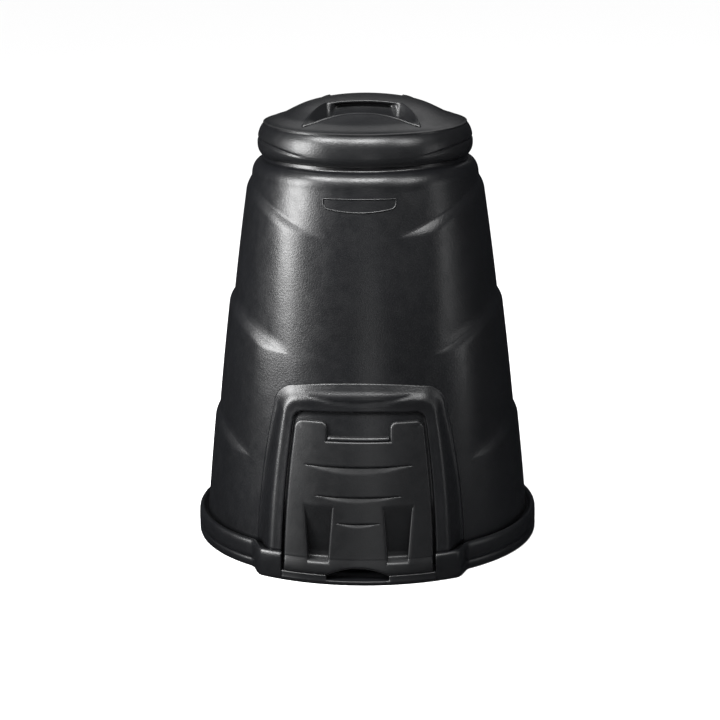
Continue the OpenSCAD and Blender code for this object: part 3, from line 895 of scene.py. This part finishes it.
def door_point(k, j):
    """Each row runs from one edge over the middle to the other, right half first."""
    side = 1 if k < len(plate_columns) - 1 else -1
    c = min(k, ALL_COLUMNS - 1 - k)
    kind, amount = plate_columns[c]
    z = plate_rows[j]
    x = column_x(kind, amount, z)
    in_notch = c > NOTCH_COLUMN and j > NOTCH_ROW
    r = door_r(z)
    if j < len(LIP_SECTION):
        z, r = LIP_SECTION[j]
        arch = LIP_ARCH * max(0, 1 - (x / SCOOP_W) ** 2)
        shift = arch * max(0, 1 - (z - DOOR_FOOT) / (LIP_ARCH_TOP - DOOR_FOOT))
        z += shift
        if shift > 0:
            r = min(r, along(LIP_SECTION[LIP_FACE_ROW:], z) - (0 if j >= LIP_FACE_ROW else LIP_R - r))
    floor = CHANNEL_R + along(CHANNEL_FOOT, z)
    if CHANNEL_LOW - 1 < z < CHANNEL_TOP and kind in ("out", "channel", "in") and r > floor:
        r = max(floor, r - CHANNEL_RIM.get((kind, amount), r))
    for half, drop, top, deep in CRESCENTS:
        low = top - drop * (1 - (x / half) ** 2)
        if abs(x) < half and low < z < top:
            r -= deep * (1 - (x / half) ** 4) * (z - low) / max(top - low, 1)
    gap = min(door_w(z) - x, DOOR_TOP - z)
    if abs(x) < NOTCH_W + 2 and z > NOTCH_Z - 2:
        gap = min(gap, hypot(max(0, x - NOTCH_W), max(0, NOTCH_Z - z)))
    r -= soften(gap)
    if c == 0 or j == LAST_ROW:
        r -= DOOR_WALL
    if in_notch and c == NOTCH_COLUMN + 1:
        x, r = NOTCH_W, r - DOOR_WALL
    if in_notch and j == NOTCH_ROW + 1:
        z, r = NOTCH_Z, r - DOOR_WALL
    if z > DOOR_TOP - 20 and (not in_notch or c == NOTCH_COLUMN + 1):
        x, z = round_corner(x, z, door_w(DOOR_TOP - EDGE_CORNER), 1, EDGE_CORNER)
        x, z = round_corner(x, z, NOTCH_W, -1, NOTCH_CORNER)
    return ahead(side * x, r, z)


def notch_face(face):
    """Whether a face of the plate's grid falls in the notch."""
    i, j = face % (ALL_COLUMNS - 1), face // (ALL_COLUMNS - 1)
    c = min(i, ALL_COLUMNS - 2 - i)
    return c > NOTCH_COLUMN and j > NOTCH_ROW


door = skin("hatch_door_plate", ALL_COLUMNS - 1, LAST_ROW, door_point, notch_face)
thicken(door, PLATE_SKIN)

# The two feet behind the lip, each a block as (out, height) drawn in a little at its ends
FOOT_CENTRE = (5, 28)
FOOT_SECTION = ((0, DOOR_FOOT - 7.6), (1.2, DOOR_FOOT - 8), (2.2, DOOR_FOOT - 7.6), (10, DOOR_FOOT),
                (10, CHANNEL_LOW - 1), (0, CHANNEL_LOW - 1), (0, DOOR_FOOT - 7.6))
feet = []
for side in (-1, 1):
    def foot_point(k, j, side=side):
        out, z = FOOT_SECTION[k]
        x = side * (FOOT_X[1], FOOT_X[1], FOOT_X[1] - 0.8, FOOT_X[0] + 0.8, FOOT_X[0], FOOT_X[0])[j]
        if j in (0, 5):
            out, z = FOOT_CENTRE
        elif j in (1, 4):
            out, z = toward((out, z), FOOT_CENTRE, 0.06)
        return ahead(x, FOOT_BACK + out, z)

    foot = skin("door_foot_left" if side < 0 else "door_foot_right", len(FOOT_SECTION) - 1, 5, foot_point)
    face_outwards(foot)
    bpy.ops.object.shade_smooth_by_angle(angle=radians(35))
    feet.append(foot)

door_plastic = moulded_plastic("door_plastic", (0.0030, 0.0032, 0.0037), 0.38, 0.2)
for piece in (door, *feet):
    piece.data.materials.append(door_plastic)
    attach(piece, "hatch_door")
    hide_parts("hatch_door")


# ---- Setting and light ------------------------------------------------------
# A pale floor and a pale surround that looks dark in reflections. Two softboxes on the
# left, one high in front and one on the right, two faint strips low down, one light behind.
def softbox(name, azimuth, elevation, distance, width, height, power, aim_z):
    """Rectangular light round the front's middle, azimuth to the right, aimed at a height."""
    bpy.ops.object.select_all(action="DESELECT")
    a, e = radians(azimuth), radians(elevation)
    aim = Vector((0, 0, aim_z))
    spot = Vector((sin(a) * cos(e), -cos(a) * cos(e), sin(e))) * distance + aim
    turn = (aim - spot).to_track_quat("-Z", "Y").to_euler()
    bpy.ops.object.light_add(type="AREA", location=spot, rotation=turn)
    light = bpy.context.object
    light.name = name
    light.data.shape = "RECTANGLE"
    light.data.size, light.data.size_y = width, height
    light.data.energy = power
    light.visible_camera = False


softbox("softbox_left", -66, 14, 2.3, 0.9, 1.2, 84, 0.6)
softbox("softbox_high_left", -48, 46, 2.5, 1.1, 0.6, 74, 0.75)
softbox("softbox_front", 4, 52, 2.4, 1.2, 0.5, 66, 0.6)
softbox("softbox_right", 50, 36, 2.6, 0.4, 0.9, 24, 0.75)
softbox("strip_front", 6, -3, 2.4, 0.3, 0.8, 1.7, 0.6)
softbox("strip_right", 76, 2, 2.4, 0.4, 1.0, 3.2, 0.6)
softbox("softbox_back", 175, 42, 2.6, 2.4, 1.2, 8, 0.8)

bpy.ops.object.select_all(action="DESELECT")
bpy.ops.mesh.primitive_circle_add(vertices=96, radius=40, fill_type="NGON")
floor = bpy.context.object
floor.name = "floor"
floor.visible_glossy = False
pale = bpy.data.materials.new("pale_floor")
pale.use_nodes = True
shader = pale.node_tree.nodes["Principled BSDF"]
shader.inputs["Base Color"].default_value = (0.9, 0.9, 0.9, 1)
shader.inputs["Roughness"].default_value = 0.9
shader.inputs["Specular IOR Level"].default_value = 0.1
floor.data.materials.append(pale)

studio = bpy.data.worlds.new("studio")
bpy.context.scene.world = studio
studio.use_nodes = True
nodes, links = studio.node_tree.nodes, studio.node_tree.links
background = nodes["Background"]
dim = nodes.new("ShaderNodeBackground")
dim.inputs["Color"].default_value = (0.014, 0.015, 0.018, 1)
background.inputs["Color"].default_value = (1, 1, 1, 1)
background.inputs["Strength"].default_value = 1.12
path = nodes.new("ShaderNodeLightPath")
mix = nodes.new("ShaderNodeMixShader")
links.new(path.outputs["Is Glossy Ray"], mix.inputs["Fac"])
links.new(background.outputs["Background"], mix.inputs[1])
links.new(dim.outputs["Background"], mix.inputs[2])
links.new(mix.outputs["Shader"], nodes["World Output"].inputs["Surface"])
bpy.context.scene.view_settings.view_transform = "Standard"

# A long lens a little right of the front and above the lid, tilted down
CAMERA_TURN = radians(3)
CAMERA_REACH, CAMERA_H = 4.307, 1.464
CAMERA_TILT, CAMERA_ROLL = 0.2518, -0.006
bpy.ops.object.select_all(action="DESELECT")
spot = (CAMERA_REACH * sin(CAMERA_TURN), AXIS_Y * MM - CAMERA_REACH * cos(CAMERA_TURN), CAMERA_H)
bpy.ops.object.camera_add(location=spot, rotation=(pi / 2 - CAMERA_TILT, 0, CAMERA_TURN))
camera = bpy.context.object
camera.rotation_euler.rotate_axis("Z", CAMERA_ROLL)
camera.data.lens = 108
camera.data.sensor_width = 36
camera.data.shift_x = -0.009028
camera.data.shift_y = -0.002083
camera.data.clip_end = 200
bpy.context.scene.camera = camera
